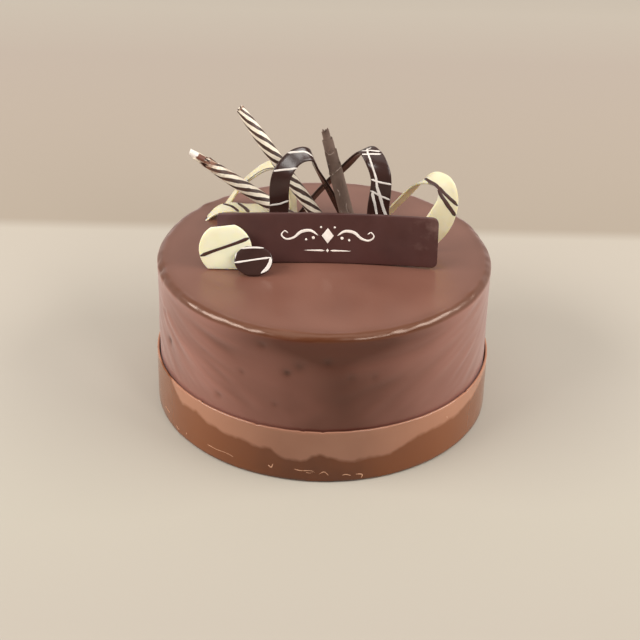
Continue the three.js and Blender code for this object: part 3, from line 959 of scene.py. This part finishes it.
# Each flake: distance back from the tip, degrees round, reach, length, width and lift
quill_flakes = [
    (44.0, 250, 3.6, 7.0, 3.0, 0.5),
    (52.0, 300, 3.6, 6.0, 2.6, 0.5),
    (27.0, 225, 3.5, 4.0, 2.2, 0.4),
    (14.0, 235, 3.3, 3.6, 2.4, 0.5),
    (15.0, 340, 3.3, 4.2, 1.8, 0.4),
]
roll_layers = [rolled(ROLL_FOOT, ROLL_TIP, *measures) for measures in quill_layers]
roll_layers += [flake(ROLL_FOOT, ROLL_TIP, *measures) for measures in quill_flakes]
dark_roll = piece("dark_quill", *gathered(roll_layers), quill)
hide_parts("dark_roll")


def on_roll(turn, back):
    """A place on the quill's skin, from degrees round it and the distance back from its tip."""
    axis, side, face, _ = roll_axes(ROLL_FOOT, ROLL_TIP)
    out = side * math.cos(math.radians(turn)) + face * math.sin(math.radians(turn))
    reach = 3.35 if back < 20 else 3.85
    return np.array(ROLL_TIP, float) + (0, 0, GARNISH_Z) - axis * back + out * reach, out


# Each broken edge runs through (degrees round the quill, distance back from its tip)
roll_cracks = [
    [(190, 24.0), (225, 25.0), (260, 23.5), (300, 22.2), (335, 21.6)],
    [(195, 13.0), (230, 12.2), (265, 12.8), (310, 12.0)],
    [(300, 42.0), (285, 45.0), (292, 48.5), (280, 52.0)],
    [(232, 46.0), (245, 50.0), (238, 54.0)],
    [(250, 33.0), (262, 35.5), (255, 38.0)],
    [(205, 17.5), (222, 18.6), (238, 18.0)],
]
broken_tones = ((96, 78, 68), (168, 150, 138))
broken = mottled_chocolate("broken_dark_chocolate", quill_sockets, 900.0, *broken_tones, 2.0)[0]
crack_beads = gathered([bead(on_roll, line, 0.5, 0.22) for line in roll_cracks])
cracks = piece("dark_quill_broken_edges", *crack_beads, broken)


# The leaves are thin strips of chocolate, bent into loops before they set and stood in the glaze.
# Two are dark with white drizzled lines, and three are white with dark lines.
LEAF_THICKNESS = 1.3
LEAF_STEPS = 200
# A darker, yellower copy of the disc's white chocolate for the leaves: painted shade, as they stand in
# stronger light, and the yellow of their shaded parts.
white_leaf_shaded = white_chocolate("white_leaf_chocolate", (200, 190, 157), (214, 206, 179))


def leaf_station(knots, t):
    """Middle, way across, outward way and width of a leaf at a share t of its knots."""
    at = [k[0] for k in knots]
    ahead = through(at, min(t + 1e-4, 1)) - through(at, max(t - 1e-4, 0))
    ahead /= np.linalg.norm(ahead)
    across = through([np.array(k[1]) / np.linalg.norm(k[1]) for k in knots], t)
    across -= across.dot(ahead) * ahead
    across /= np.linalg.norm(across)
    last = len(knots) - 1
    i = min(int(last * t), last - 1)
    w = last * t - i
    w0, w1, w2, w3 = (knots[min(max(i + k, 0), last)][2] for k in (-1, 0, 1, 2))
    v0 = (w2 - w0) / 2
    v1 = (w3 - w1) / 2
    width = w1 + v0 * w + (-3 * w1 + 3 * w2 - 2 * v0 - v1) * w**2 + (2 * w1 - 2 * w2 + v0 + v1) * w**3
    return through(at, t) + (0, 0, GARNISH_Z), across, np.cross(ahead, across), width


def leaf_rings(knots, seed):
    rings = []
    thin = LEAF_THICKNESS / 2
    for step in range(LEAF_STEPS + 1):
        t = step / LEAF_STEPS
        middle, across, out, width = leaf_station(knots, t)
        ring = []
        for hand in (1, -1):
            half = width / 2 + 0.16 * wander(14 * t, 3 * hand, seed, 1)
            for turn in np.linspace(-math.pi / 2, math.pi / 2, 7):
                a = half - thin + thin * math.cos(turn)
                ring.append(middle + across * hand * a + out * hand * thin * math.sin(turn))
            for share in (0.6, 0.2, -0.2, -0.6):
                swell = 0.05 * wander(20 * t, 2 * share, seed + hand, 1)
                ring.append(middle + across * hand * share * half + out * hand * (thin + swell))
        rings.append(ring)
    return rings


def leaf_face(knots, hand):
    """One face of a leaf as a surface, in shares of its length and of half its width."""
    def surface(t, a):
        middle, across, out, width = leaf_station(knots, t)
        return middle + across * a * width / 2 + out * hand * LEAF_THICKNESS / 2, out * hand
    return surface


# Each knot of a leaf: place on the cake's top, way across and width
# Each line on it runs through (share of the length, share of half the width, own width where it has one)
LEFT_LOOP = [
    ((-24.6, 1, -2), (1, 0.2, 0), 9),
    ((-24.8, 3, 21.7), (1, 0.2, 0), 10.4),
    ((-23.3, 5, 41.9), (0.92, 0.05, -0.38), 10.4),
    ((-15.6, 11, 49.8), (0.45, -0.35, -0.82), 9),
    ((-8.9, 15.5, 49), (0.3, -0.7, -0.6), 8),
    ((-5.4, 20, 39.5), (0.44, -0.88, -0.18), 7),
    ((1, 26.1, 25.2), (0.6, -0.78, 0), 7),
    ((13.2, 33.2, -2), (0.7, -0.7, 0.12), 7),
]
LEFT_LOOP_LINES = [
    [(0.286, -0.96), (0.300, -0.5), (0.318, 0.0), (0.340, 0.5), (0.372, 0.97)],
    [(0.166, -0.97), (0.168, -0.45), (0.170, 0.1), (0.176, 0.6), (0.180, 0.97)],
    [
        (0.392, -0.97), (0.422, -0.65), (0.448, -0.45), (0.498, -0.30),
        (0.54, -0.1), (0.57, 0.1), (0.60, 0.2),
    ],
]
RIGHT_LOOP = [
    ((29.6, 2.5, -2), (1, 0.1, 0), 13),
    ((28.3, 3, 21.8), (1, 0.05, 0), 12),
    ((29, 5, 42), (1, 0, 0), 11),
    ((24.1, 11, 51.8), (0.85, 0.5, 0.15), 11),
    ((20.5, 18, 51.5), (0.66, 0.74, 0.04), 9),
    ((8.4, 31.6, 33.1), (0.76, 0.635, -0.13), 7.5),
    ((-3.1, 39, 17.2), (0.72, 0.68, 0.04), 7.5),
    ((-14.5, 47, -2), (0.7, 0.7, 0.1), 6),
]
RIGHT_LOOP_LINES = [
    [
        (0.54, 0.1, 1.2), (0.50, -0.15, 1.2), (0.462, -0.32, 1.1), (0.41, -0.45, 1.1), (0.348, -0.54, 1.1),
        (0.262, -0.44, 1.3), (0.232, -0.28, 1.7), (0.202, 0.05, 1.8), (0.144, 0.6, 1.7), (0.11, 0.9, 1.5),
    ],
    [(0.279, -0.96), (0.268, -0.5), (0.261, 0.0), (0.257, 0.5), (0.254, 0.96)],
    [(0.225, -0.96), (0.216, -0.4), (0.208, 0.0), (0.203, 0.5), (0.197, 0.96)],
    [(0.222, -0.8, 1.8), (0.194, -0.55, 1.6), (0.168, -0.3, 1.4), (0.13, -0.1, 1.3), (0.09, 0.0, 1.2)],
    [(0.458, -0.96), (0.446, -0.6), (0.434, -0.15), (0.420, 0.25), (0.402, 0.8)],
    [(0.534, -0.75), (0.500, -0.4), (0.482, 0.05), (0.456, 0.45), (0.428, 0.9)],
    [(0.506, -0.3), (0.518, 0.1), (0.528, 0.5)],
]
WHITE_LOOP = [
    ((49.5, 1, -2), (0.8, 0, -0.6), 9),
    ((60.7, 3, 16), (0.88, 0.05, -0.48), 15),
    ((65.4, 6, 28.4), (1, 0.1, -0.08), 11.6),
    ((63.4, 9.5, 36.4), (0.8, 0.3, 0.5), 9.5),
    ((57.2, 14, 37.6), (0.5, 0.65, 0.55), 8.5),
    ((50.9, 20, 31.9), (0.73, 0.68, 0.1), 7.5),
    ((44, 27.8, 20.4), (0.78, 0.56, -0.1), 7),
    ((31, 39.9, -2), (0.78, 0.56, -0.1), 6),
]
WHITE_LOOP_LINES = [
    [
        (0.66, 0.2, 1.5), (0.604, -0.5, 2.0), (0.566, -0.72, 2.2), (0.524, -0.78, 2.1),
        (0.446, -0.82, 1.9), (0.374, -0.55, 1.9), (0.304, 0.15, 2.0), (0.264, 0.94, 2.0),
    ],
    [
        (0.42, -0.86, 1.8), (0.352, -0.78, 2.1), (0.302, -0.5, 2.3),
        (0.260, 0.0, 2.4), (0.236, 0.5, 2.4), (0.216, 0.93, 2.4),
    ],
]
ARCH = [
    ((-57.5, 54, -2), (-0.05, 0.97, 0.12), 8),
    ((-45, 47.5, 18.3), (0.25, 0.95, 0.25), 9),
    ((-30.2, 42, 30.6), (0.1, 0.95, 0.2), 8.5),
    ((-22.5, 40, 29), (0, 1, 0.1), 8),
    ((-19.5, 40, 19.5), (0.3, 0.95, 0), 8),
    ((-17.5, 39, -2), (0.5, 0.85, 0), 7),
]
ARCH_LINES = [
    [(0.20, -0.93), (0.252, -0.9), (0.304, -0.8), (0.346, -0.8), (0.396, -0.88), (0.46, -0.93)],
]
CURL = [
    ((-67.5, 36, -1.5), (0.15, 1, 0), 7),
    ((-61.5, 38.5, 2.8), (0.1, 1, 0), 10),
    ((-55, 41, 4), (0.05, 1, 0), 11.5),
    ((-45, 43, 2.7), (0, 1, 0), 11.5),
    ((-36, 43.5, 2.1), (0, 1, 0), 11.5),
    ((-29, 44, -1.5), (0, 1, 0), 9),
]
CURL_LINES = [
    [(0.03, -0.8, 1.2), (0.025, -0.2, 1.8), (0.03, 0.4, 1.8), (0.035, 0.85, 1.0)],
    [(0.36, 0.9, 1.8), (0.40, 0.5, 2.2), (0.445, 0.1, 2.4), (0.475, -0.4, 2.4), (0.504, -0.95, 2.2)],
    [(0.52, 0.9, 2.2), (0.556, 0.4, 2.7), (0.59, -0.1, 2.9), (0.61, -0.5, 2.9), (0.630, -0.95, 2.6)],
]
# Each leaf: its node, slot and knots, the face with the lines on it, the lines and their width
leaves = [
    ("dark_loop_left", "dark", LEFT_LOOP, -1, LEFT_LOOP_LINES, 1.1),
    ("dark_loop_right", "dark", RIGHT_LOOP, -1, RIGHT_LOOP_LINES, 1.1),
    ("white_loop_right", "white", WHITE_LOOP, -1, WHITE_LOOP_LINES, 1.4),
    ("white_arch_left", "white", ARCH, 1, ARCH_LINES, 0.9),
    ("white_curl_low", "white", CURL, 1, CURL_LINES, 1.6),
]
for number, (node, slot, knots, hand, lines, width) in enumerate(leaves):
    leaf_finish, line_finish, line_slot = white_leaf_shaded, dark_line, "dark"
    if slot == "dark":
        leaf_finish, line_finish, line_slot = dark_choc, white_line, "white"
    leaf = piece(node + "_leaf", *skin(leaf_rings(knots, 3 * number)), leaf_finish, sharp=60)
    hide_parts(node)
    drizzle = gathered([bead(leaf_face(knots, hand), line, width, LINE_RISE) for line in lines])
    drizzle = piece(node + "_drizzle", *drizzle, line_finish)


# The cake is shown on a pale table, with a slightly darker ground behind the table's far edge. The table is
# painted darker toward the front and in a strip just behind the far edge as painted shade, and lighter
# further back as painted light.
bpy.ops.mesh.primitive_plane_add(size=6)
table = bpy.context.object
table.name = "table"
table_top, tree, shader, place = material("pale_table", {"Roughness": 0.7, "Specular IOR Level": 0.2})
# Each tone: place behind the cake's middle in metres, and screen colour
table_tones = [
    (-0.20, (158, 150, 139)),
    (-0.12, (162, 155, 143)),
    (0.0, (171, 163, 152)),
    (0.188, (173, 164, 152)),
    (0.202, (154, 142, 128)),
    (0.39, (165, 152, 139)),
    (0.53, (172, 159, 147)),
    (0.67, (183, 173, 160)),
]
table_start = -0.25
table_stops = [(at - table_start, tone(*colour)) for at, colour in table_tones]
depth = spread(tree, part_of(tree, place, "Y"), table_start, table_start + 1, 0, 1)
tree.links.new(ramp(tree, depth, table_stops), shader.inputs["Base Color"])
table.data.materials.append(table_top)

# The light is soft: a faint panel above the cake, a strong one high at either side, a small one in front,
# and a pale room that is darker in front than at the sides and behind.
for name, panel_at, wide, tall, power in (
    ("top_panel", (0.0, -0.3, 1.5), 1.2, 1.2, 5),
    ("left_panel", (-1.05, -0.4, 0.9), 1.2, 0.5, 22),
    ("right_panel", (1.1, -0.25, 0.9), 1.2, 0.5, 18),
    ("front_panel", (0.56, -0.95, 0.66), 0.26, 0.26, 3.2),
):
    lamp = bpy.data.lights.new(name, "AREA")
    lamp.shape = "RECTANGLE"
    lamp.size = wide
    lamp.size_y = tall
    lamp.energy = power
    lamp.color = (1.0, 0.98, 0.95)
    holder = bpy.data.objects.new(name, lamp)
    holder.location = panel_at
    holder.rotation_euler = (Vector((0, 0, 0.06)) - Vector(panel_at)).to_track_quat("-Z", "Y").to_euler()
    bpy.context.collection.objects.link(holder)
room = bpy.data.worlds.new("room")
room.use_nodes = True
tree = room.node_tree
way = part_of(tree, add(tree, "TexCoord").outputs["Generated"], "Y")
walls = [
    (0.0, (0.1, 0.095, 0.09, 1)),
    (0.25, (0.2, 0.195, 0.185, 1)),
    (0.42, (0.7, 0.68, 0.65, 1)),
    (0.6, (0.74, 0.71, 0.67, 1)),
    (1.0, (0.52, 0.49, 0.46, 1)),
]
glow = ramp(tree, spread(tree, way, -1, 1, 0, 1), walls)
tree.links.new(glow, tree.nodes["Background"].inputs["Color"])
bpy.context.scene.world = room
bpy.context.scene.view_settings.view_transform = "Standard"

# The camera looks down on the cake's front, turned a little on its own axis.
pitch = math.radians(30.657)
yaw = math.radians(-0.136)
roll = math.radians(1.197)
ahead = Vector((math.sin(yaw) * math.cos(pitch), math.cos(yaw) * math.cos(pitch), -math.sin(pitch)))
right = Vector((math.cos(yaw), -math.sin(yaw), 0))
up = right.cross(ahead)
turned_right = math.cos(roll) * right + math.sin(roll) * up
turned_up = -math.sin(roll) * right + math.cos(roll) * up
eye = bpy.data.cameras.new("eye")
eye.sensor_width = 36
eye.lens = 78.80
camera = bpy.data.objects.new("eye", eye)
facing = Matrix((turned_right, turned_up, -ahead)).transposed().to_4x4()
camera.matrix_world = Matrix.Translation((0, -0.672107, 0.441185)) @ facing
bpy.context.collection.objects.link(camera)
bpy.context.scene.camera = camera
